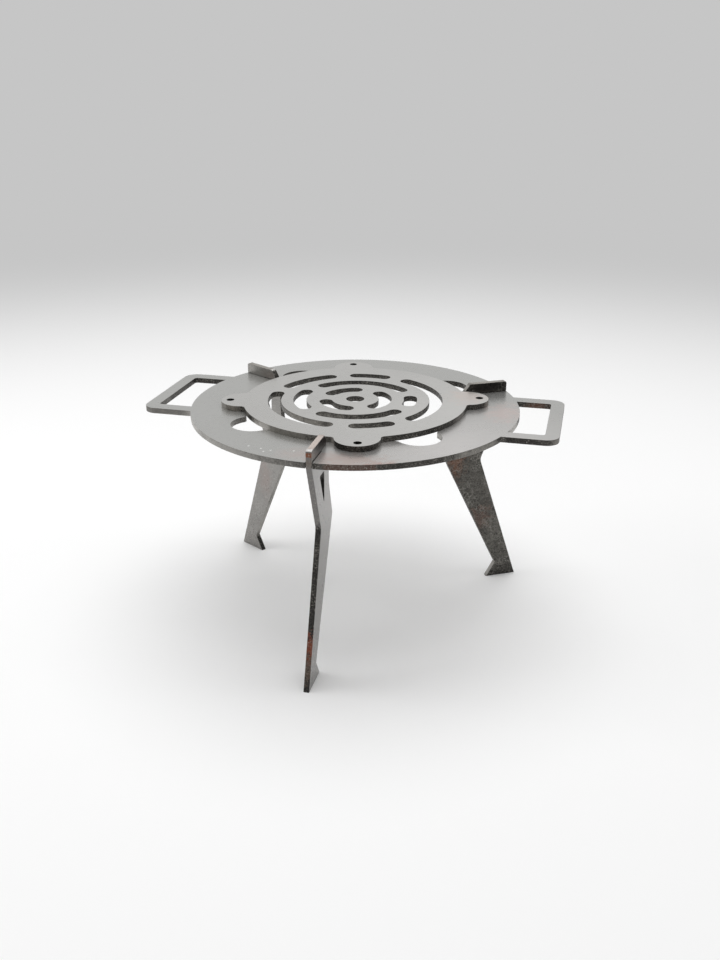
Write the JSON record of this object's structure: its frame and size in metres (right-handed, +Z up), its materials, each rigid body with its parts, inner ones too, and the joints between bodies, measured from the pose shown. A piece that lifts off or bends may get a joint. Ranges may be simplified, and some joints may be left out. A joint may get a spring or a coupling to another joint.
{
  "type": "plate burner stand",
  "caption": "Knock-down steel plate stand: a handled ring on hooked slot-in legs, with a loose slotted grate that carries a pot over a burner.",
  "frame": {"origin": "on the surface that the feet stand on, at the middle of the stand's footprint", "axes": "+X through the two handles, -Y towards the front leg, +Z up through the grate"},
  "size_m": [0.375, 0.3217, 0.21],
  "materials": {
    "ring_steel": "bare hot-rolled plate, matte, with dark laser-cut edges",
    "grate_steel": "bare hot-rolled plate, matte, with dark laser-cut edges",
    "leg_steel": "bare hot-rolled plate with mill scale, light rust and dark laser-cut edges"
  },
  "bodies": {
    "ring": {"top_ring": "ring_steel"},
    "grate": {"grate_plate": "grate_steel"},
    "front_leg": {"leg_front": "leg_steel"},
    "right_leg": {"leg_right": "leg_steel"},
    "left_leg": {"leg_left": "leg_steel"}
  },
  "joints": [
    {"name": "grate_lift", "type": "slide", "parent": "ring", "child": "grate", "axis": [0, 0, 1], "range_m": [0, 0.06]},
    {"name": "front_leg_pull", "type": "slide", "parent": "ring", "child": "front_leg", "axis": [0, -1, 0], "range_m": [0, 0.06]},
    {"name": "right_leg_pull", "type": "slide", "parent": "ring", "child": "right_leg", "axis": [0.866, 0.5, 0], "range_m": [0, 0.06]},
    {"name": "left_leg_pull", "type": "slide", "parent": "ring", "child": "left_leg", "axis": [-0.866, 0.5, 0], "range_m": [0, 0.06]}
  ]
}
